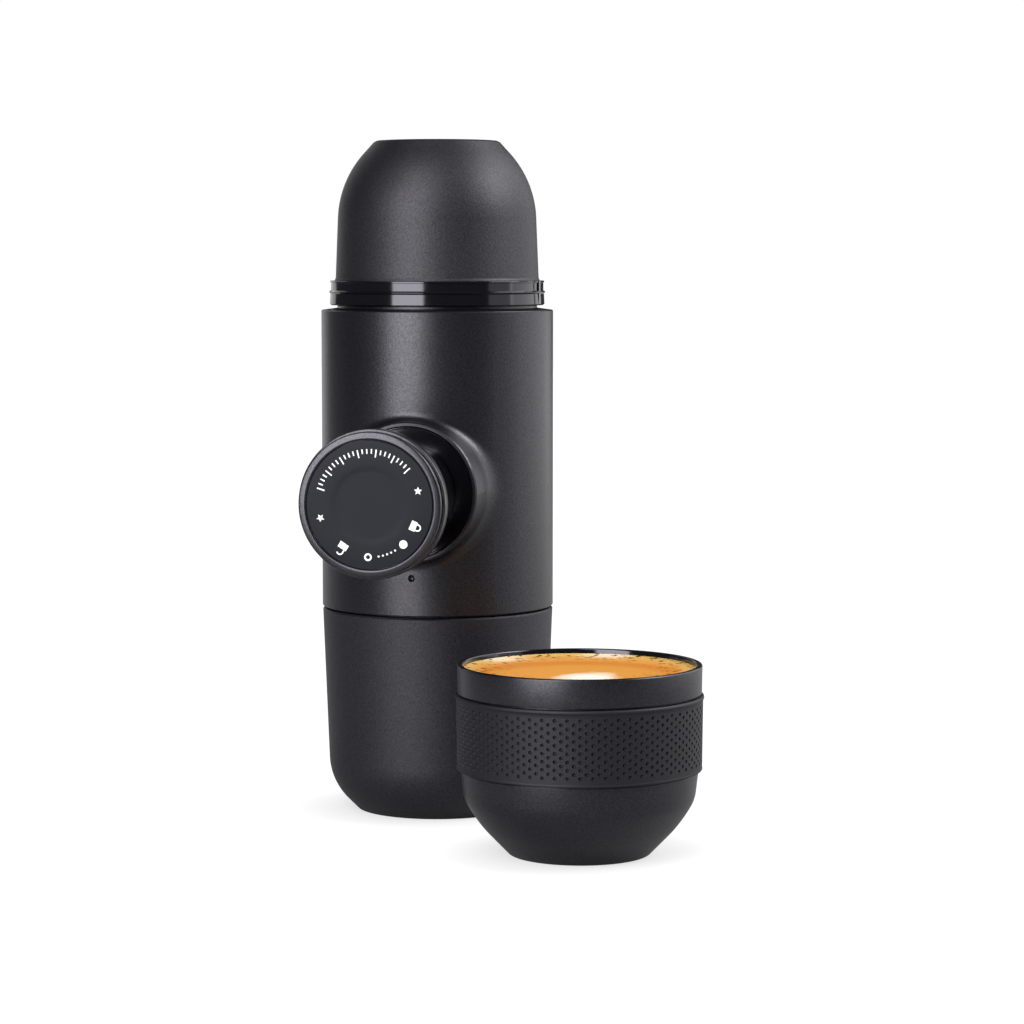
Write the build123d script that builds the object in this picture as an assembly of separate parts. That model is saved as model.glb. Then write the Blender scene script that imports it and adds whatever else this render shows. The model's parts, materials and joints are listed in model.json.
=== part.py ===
from build123d import *
import os
from math import cos, radians

# Handheld manual espresso maker with its own cup.
# Millimetres, +Z up. The origin is the centre of the water tank's flat foot, on the surface.
# The pump knob points along -Y; "reach" is a distance from the main axis towards the knob.

# main body
BODY_R = 29.7             # body shell, outside
BODY_WALL = 2.7
BODY_BOTTOM = 52.65
BODY_TOP = 128.5          # outer edge of the top, which rises a little towards the neck
BODY_EDGE = 0.2           # bevel on the body's two rims
DECK_T = 2.5              # closed top of the body shell
SEAM = 0.55               # dark groove between tank and body

# water tank
TANK_FOOT_R = 20.6
TANK_EDGE_R = 0.5         # round between foot and chamfer
TANK_BEND_R = 15.5        # large round above the 45 degree foot chamfer
TANK_LOW_R = 28.1         # top of that round
TANK_TOP_R = 29.6
TANK_TOP = BODY_BOTTOM - SEAM
TANK_WALL = 2.2
NECK_R = 26.5             # screw neck of the tank, outside
NECK_WALL = 2.0
NECK_TOP = 60.4

# pump, laid across the body
PUMP_Z = 83.9
STROKE = 32.2
BOSS_REACH = 34.0
BOSS_R = 17.6             # boss lip, outside
BOSS_FLARE = 2.8          # growth of the boss's radius towards the body
BOSS_FILLET = 1.0
PORT_R = 16.6
COLLAR_REACH = 33.4
COLLAR_FLOOR = 32.4
COLLAR_TUBE_R = 14.4
SEAT_REACH = 26.0         # land in the boss that the collar stops on
SLEEVE_R = 11.8
SLEEVE_WALL = 1.5
SLIDE_FIT = 0.08          # radial clearance of sliding and turning fits
GUIDE_END = 22.0          # inner end of the collar's guide tube
CLIP_REACH = 21.0         # retaining ring in its groove, at rest behind the guide tube
LUG_R = 13.1
LUG_TURN = 115            # place of the two lugs round the sleeve, hidden by the knob at rest
LUG_W = 4.6
LUG_T = 2.4
LUG_REACH = 59.0
KNOB_BACK = 66.7
KNOB_FACE = 72.7
KNOB_R = 17.85            # flange of the knob
FLANGE_END = 70.3
KNOB_GROOVE_R = 16.5      # narrow groove between flange and bezel
KNOB_GROOVE_W = 0.4
BEZEL_R = 17.05
FACE_R = 15.25
FACE_SUNK = 0.3           # disc below the bezel's crest
FACE_T = 0.9
DISH_R = 8.7              # shallow thumb recess in the knob face
DISH_DEPTH = 0.18
CYLINDER_R = 7.5
BORE_R = 5.5
PUMP_PORT_R = 1.4         # water's way between cylinder and valves
CYLINDER_FOOT = 1.5       # stretch of the cylinder that sits in the pump block
BLOCK_FACE = -13.5        # front face of the pump block
CYLINDER_END = 22.0
PISTON_BACK = 19.2        # piston head at rest, from here to PISTON_FRONT
PISTON_FRONT = 21.1
GROOVE_R = 4.4            # floor of the seal's groove
GROOVE_W = 0.9
ROD_R = 3.0
STEP_R = 2.0              # rod inside the piston head
PIN_R = 2.0               # rod's other end, which the knob turns on
PISTON_SCREW_HEAD = 0.9
SPRING_R = 8.9            # mean radius of the return spring
SPRING_BAND = 1.2         # width of its flat wire
SPRING_THICK = 0.7
SPRING_TURNS = 7

# valves
VALVE_Y = 20.0
BALL_R = 1.6
SEAT_T = 2.0
SEAT_BORE = 1.1
VALVE_BORE = 2.5
VALVE_ROOM = 6.0          # height of each valve's chamber above its seat
INLET_SEAT_Z = 76.0       # top of the inlet seat
OUTLET_SEAT_Z = 90.0      # top of the outlet seat
BALL_SEAT = 1.3           # ball centre above its seat
BLOCK_W = 25.0
BLOCK_DEPTH = 13.0
BLOCK_ROUND = 4.0
BLOCK_BACK_R = 26.7       # back of the block, round like the shell
DUCT_R = 3.2
DUCT_BORE = 1.3

# base plate
PLATE_Z = 62.0
PLATE_T = 3.0
PLATE_R = 26.9
SIDE_BOSS = 22.0          # the shell's two screw bosses, from the main axis
BLOCK_LEG = 9.0           # the pump block's two legs, from its middle
LEG_R = 3.2
TAP_R = 1.3               # tapped holes
CLEAR_R = 1.7             # clearance holes
SINK_R = 2.9              # countersinks for the screws' heads
SINK_T = 1.5
INLET_R = 2.4             # hole for the inlet tube
VENT_XY = -12.0
FILTER_LOW = 57.7
FILTER_R = 3.4

# brew chamber and outlet head
CHAMBER_BOTTOM = 98.5
CHAMBER_R = 17.0
CHAMBER_MOUTH_R = 15.2
CHAMBER_FLOOR_R = 12.5
CHAMBER_FLOOR = 102.0
FLANGE_R = 23.4
FLANGE_T = 2.5
FLANGE_SCREW_R = 21.1     # circle of the three screws that hold the chamber
DUCT_Z = 104.0
GASKET_T = 1.6
PLATE_HOLE = 0.7          # holes in the pierced outlet plate
HEAD_NECK_R = 24.4
HEAD_NECK_TOP = 134.8
HEAD_SHOULDER_R = 25.6
HEAD_SHOULDER_RISE = 0.55
HEAD_BOTTOM = 129.75
HEAD_TOP = 135.95
HEAD_R = 27.2
HEAD_RIDGE_R = 27.7       # ridge round the head, and its height
HEAD_RIDGE_Z = 133.1
SPIGOT_R = 23.6
SPIGOT_TOP = 141.0
FLOOR_TOP = 138.0         # top of the head's floor, which carries the spout
SPOUT_TOP = 158.0
SPOUT_SEAT_R = 4.6
SPOUT_BORE_R = 3.2
CAP_R = 26.0
CAP_BEND_Z = 152.0
CAP_BEND_R = 25.85
CAP_BEND_SWEEP = 40.65    # degrees
CAP_TOP = 171.5
CAP_WALL = 2.0
CAP_TAPER = 0.62          # from the cap's foot to its bend
CAP_FOOT = 0.7            # height of the slight flare at the foot
CAP_FLARE = 0.22

# cup
CUP_X = 47.5
CUP_Y = -56.5
CUP_TOP = 45.6
CUP_RIM_R = 29.25
CUP_RIM_WALL = 1.3
CUP_WALL = 1.6
CUP_FLOOR = 2.2
BAND_LOW = 20.5
BAND_HIGH = 38.3
BAND_R = 29.45            # band at its top; it tapers a little
BAND_TAPER = 0.2
BAND_T = 1.25
BAND_LIP = 0.25
CUP_SIDE_R = 28.4         # just below the band
CUP_LOW_R = 27.8          # where the side turns in
CUP_BEND_Z = 15.0


def turned(outline):
    """Revolve a closed outline of (radius, height) about the main axis."""
    return revolve(Plane.XZ * make_face(outline), Axis.Z)


def ring(outer, inner, low, high):
    """Plain ring, or a disc when inner is 0."""
    body = Pos(0, 0, low) * Cylinder(outer, high - low, align=(Align.CENTER, Align.CENTER, Align.MIN))
    if inner:
        body -= Pos(0, 0, low - 1) * Cylinder(
            inner, high - low + 2, align=(Align.CENTER, Align.CENTER, Align.MIN))
    return body


def hexagon(across, low, high):
    """Six-sided prism of the given width across its flats."""
    return Pos(0, 0, low) * extrude(RegularPolygon(across / 2, 6, major_radius=False), high - low)


def forward(part):
    """Turn a part made along +Z so that it points along the pump axis."""
    return Pos(0, 0, PUMP_Z) * Rot(90, 0, 0) * part


def coil(radius, length, turns, band, thick):
    """Flat-wire compression spring on Z, from 0 to length."""
    rise = length - band
    path = Helix(rise / turns, rise, radius)
    section = Plane(path @ 0, x_dir=(1, 0, 0), z_dir=path % 0) * Rectangle(thick, band)
    return Pos(0, 0, band / 2) * sweep(section, path, is_frenet=True)


def at_valves(part):
    """Move a part made on the main axis to the axis that both valves share."""
    return Pos(0, VALVE_Y, 0) * part


def water_tank():
    """Tank with a 45 degree foot chamfer, a large round, tapered walls and a screw neck."""
    foot = Line((0, 0), (TANK_FOOT_R, 0))
    foot_edge = JernArc(foot @ 1, (1, 0), TANK_EDGE_R, 45)
    rise = TANK_LOW_R - TANK_BEND_R * (1 - cos(radians(45))) - (foot_edge @ 1).X
    chamfer_side = Line(foot_edge @ 1, foot_edge @ 1 + Vector(rise, rise))
    bend = JernArc(chamfer_side @ 1, (1, 1), TANK_BEND_R, 43)
    inner_neck = NECK_R - NECK_WALL
    rim = Polyline(
        bend @ 1, (TANK_TOP_R, TANK_TOP - 0.4), (TANK_TOP_R - 0.4, TANK_TOP), (NECK_R, TANK_TOP),
        (NECK_R, NECK_TOP - 0.4), (NECK_R - 0.4, NECK_TOP), (inner_neck, NECK_TOP),
        (inner_neck, TANK_TOP - 1.5), (TANK_TOP_R - TANK_WALL, TANK_TOP - 5),
        (TANK_LOW_R - TANK_WALL, TANK_BEND_R - 1.5))
    inner_bend = JernArc(rim @ 1, (0, -1), TANK_BEND_R - TANK_WALL, -45)
    drop = (inner_bend @ 1).Y - TANK_WALL
    floor = Polyline(inner_bend @ 1, inner_bend @ 1 - Vector(drop, drop), (0, TANK_WALL), (0, 0))
    return turned(foot + foot_edge + chamfer_side + bend + rim + inner_bend + floor)


def tank_gasket():
    return ring(26.6, 24.7, NECK_TOP, PLATE_Z)


def boss():
    """Flared boss round the port, run into the body shell."""
    profile = Polyline(
        (0, 10), (BOSS_R + BOSS_FLARE, 10), (BOSS_R, BOSS_REACH - 0.4),
        (BOSS_R - 0.35, BOSS_REACH), (0, BOSS_REACH), close=True)
    return forward(turned(profile))


def body_shell():
    """Shell with the pump's boss run into it, a deck for the brew chamber and a screw neck."""
    inner = BODY_R - BODY_WALL
    body = ring(BODY_R, 0, BODY_BOTTOM, BODY_TOP)
    body = chamfer(body.edges().filter_by(GeomType.CIRCLE), BODY_EDGE)
    body += boss()
    root_edges = [
        edge for edge in body.edges()
        if edge.geom_type not in (GeomType.CIRCLE, GeomType.LINE) and edge.center().Y < -15]
    body = fillet(root_edges, BOSS_FILLET)
    body += body_shoulder()
    body += ring(HEAD_NECK_R, 0, BODY_TOP - 1, HEAD_NECK_TOP)
    body -= ring(FLANGE_R + 0.2, 0, BODY_TOP, HEAD_NECK_TOP + 1)
    body -= ring(inner, 0, BODY_BOTTOM - 1, BODY_TOP - DECK_T)
    body -= ring(CHAMBER_R + 0.3, 0, BODY_TOP - DECK_T - 1, BODY_TOP + 1)
    body -= forward(ring(PORT_R, 0, 15, BOSS_REACH + 1))
    for spot in flange_screw_places():
        body -= spot * hexagon(2 * TAP_R, BODY_TOP - DECK_T + 0.5, BODY_TOP + 1)
    body += port_seat()
    for side in (-1, 1):
        body += screw_boss(side * SIDE_BOSS)
    index_mark = Pos(0, -BODY_R - 0.35, PLATE_Z + 0.2) * Sphere(0.95)
    return body - index_mark


def body_shoulder():
    """Top of the body: a shallow cone that rises to the step under the outlet head."""
    rim = BODY_R - BODY_EDGE
    return turned(Polyline(
        (0, BODY_TOP - 1), (rim, BODY_TOP - 1), (rim, BODY_TOP), (HEAD_SHOULDER_R, BODY_TOP + HEAD_SHOULDER_RISE),
        (HEAD_SHOULDER_R, HEAD_BOTTOM - 0.2), (0, HEAD_BOTTOM - 0.2), close=True))


def port_seat():
    """Land inside the boss that the port collar seats on."""
    seat = forward(ring(PORT_R + 0.5, COLLAR_TUBE_R + 0.2, SEAT_REACH - 1.6, SEAT_REACH))
    return seat & ring(BODY_R - 0.5, 0, BODY_BOTTOM, BODY_TOP)


def screw_boss(x):
    """Tapped post for the base plate, joined to the shell by a web."""
    low = PLATE_Z + PLATE_T
    post = Pos(x, 0, 0) * ring(LEG_R, 0, low, low + 12)
    web = Pos(x * 1.16, 0, low + 6) * Box(6, 3, 12)
    post = (post + web) & ring(BODY_R - 0.5, 0, BODY_BOTTOM, BODY_TOP)
    return post - Pos(x, 0, 0) * ring(TAP_R, 0, low - 1, low + 9)


def port_collar():
    """Collar in the boss: guide tube, two slots for the sleeve's lugs and the groove they turn in."""
    bore = SLEEVE_R + SLIDE_FIT
    outer = PORT_R - 0.06
    profile = Polyline(
        (bore, GUIDE_END), (COLLAR_TUBE_R, GUIDE_END), (COLLAR_TUBE_R, SEAT_REACH + 0.05),
        (outer, SEAT_REACH + 0.05), (outer, COLLAR_REACH - 0.3), (outer - 0.3, COLLAR_REACH),
        (outer - 0.44, COLLAR_REACH), (outer - 0.74, COLLAR_FLOOR), (bore, COLLAR_FLOOR), close=True)
    collar = turned(profile)
    groove_end = LUG_REACH - STROKE - 0.6
    collar -= ring(LUG_R + 0.3, 0, groove_end, groove_end + LUG_T + 1.0)
    for turn in (LUG_TURN, LUG_TURN + 180):
        slot = Pos(LUG_R / 2 + 0.15, 0, 31) * Box(LUG_R + 0.3, LUG_W + 1.0, 6)
        collar -= Rot(0, 0, turn) * slot
    return forward(collar)


def plate_screw_places():
    return [(-SIDE_BOSS, 0), (SIDE_BOSS, 0), (-BLOCK_LEG, VALVE_Y), (BLOCK_LEG, VALVE_Y)]


def base_plate():
    """Plate that closes the body over the tank, with holes for the inlet, the vent and four screws."""
    below, above = PLATE_Z - 1, PLATE_Z + PLATE_T + 1
    plate = ring(PLATE_R, 0, PLATE_Z, PLATE_Z + PLATE_T)
    plate -= at_valves(ring(INLET_R, 0, below, above))
    plate -= Pos(VENT_XY, VENT_XY, 0) * ring(2.0, 0, below, above)
    for x, y in plate_screw_places():
        plate -= Pos(x, y, 0) * ring(CLEAR_R, 0, below, above)
        plate -= Pos(x, y, 0) * ring(SINK_R, 0, below, PLATE_Z + SINK_T)
    return plate


def plate_screw(x, y):
    head = hexagon(4.4, PLATE_Z + 0.2, PLATE_Z + SINK_T)
    return Pos(x, y, 0) * (head + hexagon(2.2, PLATE_Z + SINK_T - 0.1, PLATE_Z + 10))


def inlet_filter():
    """Strainer cap under the plate: a slotted cup over the inlet."""
    wall = 0.8
    cap = ring(FILTER_R, FILTER_R - wall, FILTER_LOW + wall, PLATE_Z)
    cap += ring(FILTER_R, 0, FILTER_LOW, FILTER_LOW + wall)
    for turn in (0, 60, 120):
        cap -= Rot(0, 0, turn) * Pos(0, 0, 60) * Box(8, 0.8, 2.4)
    return at_valves(cap)


def vent_valve():
    """Umbrella valve that lets air into the tank."""
    top = PLATE_Z + PLATE_T
    profile = Polyline(
        (0, 59.8), (1.4, 59.8), (1.9, 61.0), (1.9, top), (4.2, top), (4.0, top + 0.5),
        (1.2, top + 1.1), (0, top + 1.1), close=True)
    return Pos(VENT_XY, VENT_XY, 0) * turned(profile)


def inlet_tube():
    return at_valves(ring(INLET_R - 0.05, 1.2, PLATE_Z, INLET_SEAT_Z - SEAT_T))


def pump_block():
    """Moulded block at the back that carries the cylinder and both valves."""
    low, high = INLET_SEAT_Z - 4, OUTLET_SEAT_Z + VALVE_ROOM
    block = Pos(0, 0, (low + high) / 2) * Box(BLOCK_W, BLOCK_DEPTH, high - low)
    block = fillet(block.edges().filter_by(Axis.Y), BLOCK_ROUND)
    for side in (-1, 1):
        leg = Pos(side * BLOCK_LEG, 0, 0)
        block += leg * ring(LEG_R, 0, PLATE_Z + PLATE_T, low + 3)
        block -= leg * ring(TAP_R, 0, PLATE_Z, PLATE_Z + 11)
    block -= ring(INLET_R, 0, low - 1, INLET_SEAT_Z - SEAT_T)
    block -= ring(VALVE_BORE, 0, INLET_SEAT_Z - SEAT_T, INLET_SEAT_Z + VALVE_ROOM)
    block -= ring(SEAT_BORE, 0, INLET_SEAT_Z, OUTLET_SEAT_Z)
    block -= ring(VALVE_BORE, 0, OUTLET_SEAT_Z - SEAT_T, high + 1)
    block = at_valves(block) & ring(BLOCK_BACK_R, 0, PLATE_Z, high)
    block -= forward(ring(CYLINDER_R, 0, BLOCK_FACE - CYLINDER_FOOT, BLOCK_FACE + 1))
    return block - forward(ring(PUMP_PORT_R, 0, -VALVE_Y, BLOCK_FACE))


def valve_seat(top):
    return at_valves(ring(VALVE_BORE - 0.02, SEAT_BORE, top - SEAT_T, top))


def valve_ball(seat_top):
    return at_valves(Pos(0, 0, seat_top + BALL_SEAT) * Sphere(BALL_R))


def valve_spring(seat_top):
    """Spring from the ball's crown to the top of the valve's chamber."""
    low = BALL_SEAT + BALL_R * 0.8
    spring = coil(1.35, VALVE_ROOM - low, 2.5, 0.35, 0.35)
    return at_valves(Pos(0, 0, seat_top + low) * spring)


def outlet_duct():
    """Elbow from the pump block's outlet into the back of the brew chamber."""
    low = OUTLET_SEAT_Z + VALVE_ROOM
    duct = at_valves(ring(DUCT_R, 0, low, DUCT_Z + 3))
    duct += Pos(0, VALVE_Y - 1.6, DUCT_Z) * Rot(90, 0, 0) * Cylinder(3.0, 3.2)
    duct -= ring(CHAMBER_R, 0, low - 1, DUCT_Z + 6)
    duct -= at_valves(ring(DUCT_BORE, 0, low - 1, DUCT_Z + 1))
    return duct - Pos(0, VALVE_Y - 2, DUCT_Z) * Rot(90, 0, 0) * Cylinder(DUCT_BORE, 5)


def pump_cylinder():
    foot = BLOCK_FACE - CYLINDER_FOOT
    cylinder = ring(CYLINDER_R, BORE_R, foot, CYLINDER_END)
    return forward(cylinder + ring(CYLINDER_R, PUMP_PORT_R, foot, BLOCK_FACE))


def cylinder_cap():
    return forward(ring(CYLINDER_R, ROD_R + SLIDE_FIT, CYLINDER_END, CYLINDER_END + 2.2))


def piston_rod():
    """Rod from piston head to knob, stepped down at both ends and tapped for a screw in each."""
    rod = ring(STEP_R - 0.02, 0, PISTON_BACK + PISTON_SCREW_HEAD, PISTON_FRONT + 0.5)
    rod += ring(ROD_R, 0, PISTON_FRONT, KNOB_BACK - 0.4)
    rod += ring(PIN_R, 0, KNOB_BACK - 1, KNOB_FACE - FACE_SUNK - FACE_T - 1.6)
    rod -= ring(0.9, 0, PISTON_BACK, PISTON_BACK + 6)
    return forward(rod - ring(0.83, 0, KNOB_BACK - 0.7, KNOB_FACE))


def piston_head():
    """Piston head with its seal's groove and a recess that its screw's head lies in."""
    head = ring(BORE_R - 0.15, STEP_R, PISTON_BACK, PISTON_FRONT)
    head -= ring(2.45, 0, PISTON_BACK - 1, PISTON_BACK + PISTON_SCREW_HEAD)
    return forward(head - ring(BORE_R + 1, GROOVE_R, PISTON_BACK + 0.5, PISTON_BACK + 0.5 + GROOVE_W))


def piston_seal():
    back = PISTON_BACK + 0.5
    return forward(ring(BORE_R - 0.05, GROOVE_R, back, back + GROOVE_W))


def piston_screw():
    seat = PISTON_BACK + PISTON_SCREW_HEAD
    return forward(hexagon(4.0, PISTON_BACK + 0.1, seat) + hexagon(1.5, seat - 0.1, PISTON_BACK + 5))


def return_spring():
    length = KNOB_BACK - BLOCK_FACE
    spring = coil(SPRING_R, length, SPRING_TURNS, SPRING_BAND, SPRING_THICK)
    return forward(Pos(0, 0, BLOCK_FACE) * spring)


def knob_shell():
    """Flange, narrow groove and rounded bezel in one, with a pocket for the printed disc."""
    pocket = KNOB_FACE - FACE_SUNK - FACE_T
    bezel_low = FLANGE_END + KNOB_GROOVE_W
    side = Polyline(
        (0, KNOB_BACK), (KNOB_R - 0.5, KNOB_BACK), (KNOB_R, KNOB_BACK + 0.5), (KNOB_R, FLANGE_END - 0.3),
        (KNOB_R - 0.3, FLANGE_END), (KNOB_GROOVE_R, FLANGE_END), (KNOB_GROOVE_R, bezel_low),
        (BEZEL_R, bezel_low), (BEZEL_R, KNOB_FACE - 0.5))
    crown = ThreePointArc(
        side @ 1, (BEZEL_R - 0.09, KNOB_FACE - 0.24), (BEZEL_R - 0.32, KNOB_FACE - 0.13))
    inner = Polyline(
        crown @ 1, (FACE_R + 0.55, KNOB_FACE), (FACE_R + 0.05, KNOB_FACE - FACE_SUNK),
        (FACE_R + 0.05, pocket), (0, pocket), (0, KNOB_BACK))
    knob = turned(side + crown + inner)
    knob -= ring(SLEEVE_R + 0.02, SLEEVE_R - SLEEVE_WALL - 0.02, KNOB_BACK - 1, KNOB_BACK + 2)
    knob -= ring(PIN_R + SLIDE_FIT, 0, KNOB_BACK - 1, KNOB_FACE)
    return forward(knob - ring(3.6, 0, pocket - 1.6, KNOB_FACE))


def knob_face():
    """Disc in the knob's pocket, with a shallow flat recess for the thumb."""
    high = KNOB_FACE - FACE_SUNK
    profile = Polyline(
        (0, high - FACE_T), (FACE_R, high - FACE_T), (FACE_R, high), (DISH_R, high),
        (DISH_R - 0.4, high - DISH_DEPTH), (0, high - DISH_DEPTH), close=True)
    return forward(turned(profile))


def knob_screw():
    """Shoulder screw in the rod's end; its head keeps the knob on and lets it turn."""
    low = KNOB_FACE - FACE_SUNK - FACE_T - 1.5
    return forward(hexagon(5.6, low, low + 1.1) + hexagon(1.4, low - 3.5, low + 0.5))


def plunger_sleeve():
    inner = SLEEVE_R - SLEEVE_WALL
    sleeve = ring(SLEEVE_R, inner, CLIP_REACH - 0.8, KNOB_BACK + 2)
    lug = Pos(SLEEVE_R + 0.2, 0, LUG_REACH + LUG_T / 2) * Box(2.6, LUG_W, LUG_T)
    lug &= ring(LUG_R, inner, LUG_REACH, LUG_REACH + LUG_T)
    for turn in (LUG_TURN, LUG_TURN + 180):
        sleeve += Rot(0, 0, turn) * lug
    sleeve -= ring(SLEEVE_R + 1, SLEEVE_R - 0.6, CLIP_REACH, GUIDE_END - 0.1)
    return forward(sleeve)


def retaining_ring():
    """Open clip in the sleeve's groove, which keeps the plunger from coming out."""
    clip = ring(LUG_R, SLEEVE_R - 0.58, CLIP_REACH + 0.02, GUIDE_END - 0.12)
    return forward(clip - Pos(0, -SLEEVE_R, CLIP_REACH) * Box(9, 6, 3))


def brew_chamber():
    """Capsule well with a sloped wall, hung by its flange from the body's deck."""
    deck, rim = BODY_TOP, BODY_TOP + FLANGE_T
    profile = Polyline(
        (0, CHAMBER_BOTTOM), (CHAMBER_R - 1.5, CHAMBER_BOTTOM), (CHAMBER_R, CHAMBER_BOTTOM + 1.5),
        (CHAMBER_R, deck), (FLANGE_R, deck), (FLANGE_R, rim), (18.8, rim), (18.8, rim - 0.8),
        (CHAMBER_MOUTH_R, rim - 0.8), (CHAMBER_FLOOR_R, CHAMBER_FLOOR), (0, CHAMBER_FLOOR), close=True)
    chamber = turned(profile)
    for spot in flange_screw_places():
        chamber -= spot * hexagon(2.8, deck - 1, rim)
        chamber -= spot * ring(2.15, 0, rim - 1.2, rim + 1)
    return chamber - Pos(0, CHAMBER_FLOOR_R + 2.5, DUCT_Z) * Rot(90, 0, 0) * Cylinder(DUCT_BORE, 8)


def flange_screw_places():
    return [Rot(0, 0, turn) * Pos(FLANGE_SCREW_R, 0, 0) for turn in (30, 150, 270)]


def flange_screw(spot):
    top = BODY_TOP + FLANGE_T - 0.2
    return spot * (hexagon(3.6, top - 0.95, top) + hexagon(2.0, BODY_TOP - 1.9, top - 0.9))


def needle_plate():
    """Plate on the chamber's floor with three pyramid needles that pierce the capsule."""
    top = CHAMBER_FLOOR + 0.8
    plate = ring(CHAMBER_FLOOR_R - 0.3, 0, CHAMBER_FLOOR, top)
    needle = Pos(6, 0, top) * extrude(Rectangle(2.4, 2.4), 4.2, taper=13)
    for turn in (30, 150, 270):
        plate += Rot(0, 0, turn) * needle
        plate -= Rot(0, 0, turn + 60) * Pos(7, 0, 0) * hexagon(2.4, CHAMBER_FLOOR - 1, top + 1)
    return plate


def head_gasket():
    low = BODY_TOP + FLANGE_T
    return ring(23.0, 19.2, low, low + GASKET_T)


def outlet_head():
    """Screw head over the chamber: skirt, pressing ring, floor and the spigot that takes the cap."""
    under = BODY_TOP + FLANGE_T + GASKET_T
    floor_low = under + 2.6
    groove = HEAD_NECK_TOP + 0.3
    profile = Polyline(
        (SPOUT_SEAT_R, FLOOR_TOP), (SPOUT_SEAT_R, floor_low), (17.0, floor_low), (17.0, under),
        (23.1, under), (23.1, groove), (24.8, groove), (24.8, HEAD_BOTTOM),
        (HEAD_R, HEAD_BOTTOM), (HEAD_R + 0.3, HEAD_BOTTOM + 0.3),
        (HEAD_R + 0.15, HEAD_RIDGE_Z - 0.45), (HEAD_RIDGE_R, HEAD_RIDGE_Z - 0.05),
        (HEAD_RIDGE_R, HEAD_RIDGE_Z + 0.05), (HEAD_R, HEAD_RIDGE_Z + 0.4), (HEAD_R, HEAD_TOP - 0.5),
        (HEAD_R + 0.2, HEAD_TOP - 0.4), (HEAD_R + 0.2, HEAD_TOP - 0.1), (HEAD_R + 0.1, HEAD_TOP),
        (SPIGOT_R, HEAD_TOP), (SPIGOT_R, SPIGOT_TOP - 0.5),
        (SPIGOT_R - 0.5, SPIGOT_TOP), (SPIGOT_R - 1.8, SPIGOT_TOP), (SPIGOT_R - 1.8, FLOOR_TOP),
        close=True)
    return turned(profile)


def spout():
    """Tapered coffee spout, plugged into the head's floor."""
    plug = SPOUT_SEAT_R - 0.02
    profile = Polyline(
        (SPOUT_BORE_R, FLOOR_TOP - 2.8), (plug, FLOOR_TOP - 2.8), (plug, FLOOR_TOP),
        (6.8, FLOOR_TOP), (6.8, FLOOR_TOP + 1.2), (5.6, FLOOR_TOP + 1.8), (4.8, SPOUT_TOP - 0.6),
        (4.3, SPOUT_TOP), (SPOUT_BORE_R, SPOUT_TOP), close=True)
    return turned(profile)


def outlet_plate():
    """Pierced steel disc that holds the coffee back, clipped under the outlet head."""
    low = BODY_TOP + FLANGE_T + 2.4
    plate = ring(16.8, 0, low, low + 0.8)
    hole = hexagon(2 * PLATE_HOLE, low - 1, low + 2)
    for spread, count in ((4.5, 6), (9.0, 12)):
        for step in range(count):
            plate -= Rot(0, 0, step * 360 / count) * Pos(spread, 0, 0) * hole
    return plate


def cap_outline(inset):
    """Dome from its base to the flat top, as a chain of tangent lines and one large arc."""
    base = Line((CAP_R - inset, HEAD_TOP + CAP_FOOT), (CAP_R - CAP_TAPER - inset, CAP_BEND_Z))
    bend = JernArc(base @ 1, base % 1, CAP_BEND_R - inset, CAP_BEND_SWEEP)
    slope = bend % 1
    rise = CAP_TOP - inset - (bend @ 1).Y
    crown = (bend @ 1) + slope * (rise / slope.Y)
    return base, bend, crown


def head_cap():
    """Thin-walled dome with a sharp ridge round its flat top and a slight flare at its foot."""
    base, bend, crown = cap_outline(0)
    in_base, in_bend, in_crown = cap_outline(CAP_WALL)
    top = Polyline(bend @ 1, crown + Vector(0.4, -0.36), crown + Vector(-0.3, 0), (0, CAP_TOP))
    inside = Polyline((0, CAP_TOP), (0, CAP_TOP - CAP_WALL), in_crown, in_bend @ 1)
    foot = Polyline(
        in_base @ 0, (CAP_R - CAP_WALL, HEAD_TOP), (CAP_R + CAP_FLARE, HEAD_TOP),
        (CAP_R + CAP_FLARE, HEAD_TOP + 0.2), base @ 0)
    return turned(base + bend + top + inside + in_bend + in_base + foot)


def cup_outline(inset):
    """Lower part of the cup below its band, from the side down to the foot plane."""
    side = Line((CUP_SIDE_R - inset, BAND_LOW), (CUP_LOW_R - inset, CUP_BEND_Z))
    knee = JernArc(side @ 1, side % 1, 7.5, -20.75)
    bend = JernArc(knee @ 1, knee % 1, 29.7, -17.2)
    return side, knee, bend


def foot_point(bend, height):
    """Point where the straight line on from the bend comes down to a height."""
    slope = bend % 1
    return (bend @ 1) + slope * ((height - (bend @ 1).Y) / slope.Y)


def cup_shell():
    """Cup with a seat for the band, a thin rim and a flat foot."""
    side, knee, bend = cup_outline(0)
    foot = foot_point(bend, 0)
    in_side, in_knee, in_bend = cup_outline(CUP_WALL)
    seat_r = BAND_R - BAND_T
    rim_in = CUP_RIM_R - CUP_RIM_WALL
    groove_r, groove_top = BAND_R - 0.8, BAND_HIGH + 0.4
    upper = Polyline(
        (rim_in, CUP_TOP - 0.4), (rim_in + 0.35, CUP_TOP), (CUP_RIM_R - 0.45, CUP_TOP),
        (CUP_RIM_R, CUP_TOP - 0.5), (CUP_RIM_R - 0.1, groove_top + 0.15), (CUP_RIM_R - 0.25, groove_top),
        (groove_r, groove_top), (groove_r, BAND_HIGH), (seat_r, BAND_HIGH), (seat_r, BAND_LOW), side @ 0)
    base = Polyline(
        bend @ 1, foot + Vector(0.3, 0.3), foot + Vector(-0.3, 0), (0, 0), (0, CUP_FLOOR),
        foot_point(in_bend, CUP_FLOOR), in_bend @ 1)
    inner = Polyline(
        in_side @ 0, (seat_r - 1.4, BAND_HIGH - 0.4), (rim_in - 0.2, BAND_HIGH + 2.4),
        (rim_in, CUP_TOP - 0.4))
    shell = turned(upper + side + knee + bend + base + in_bend + in_knee + in_side + inner)
    return Pos(CUP_X, CUP_Y, 0) * shell


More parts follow.
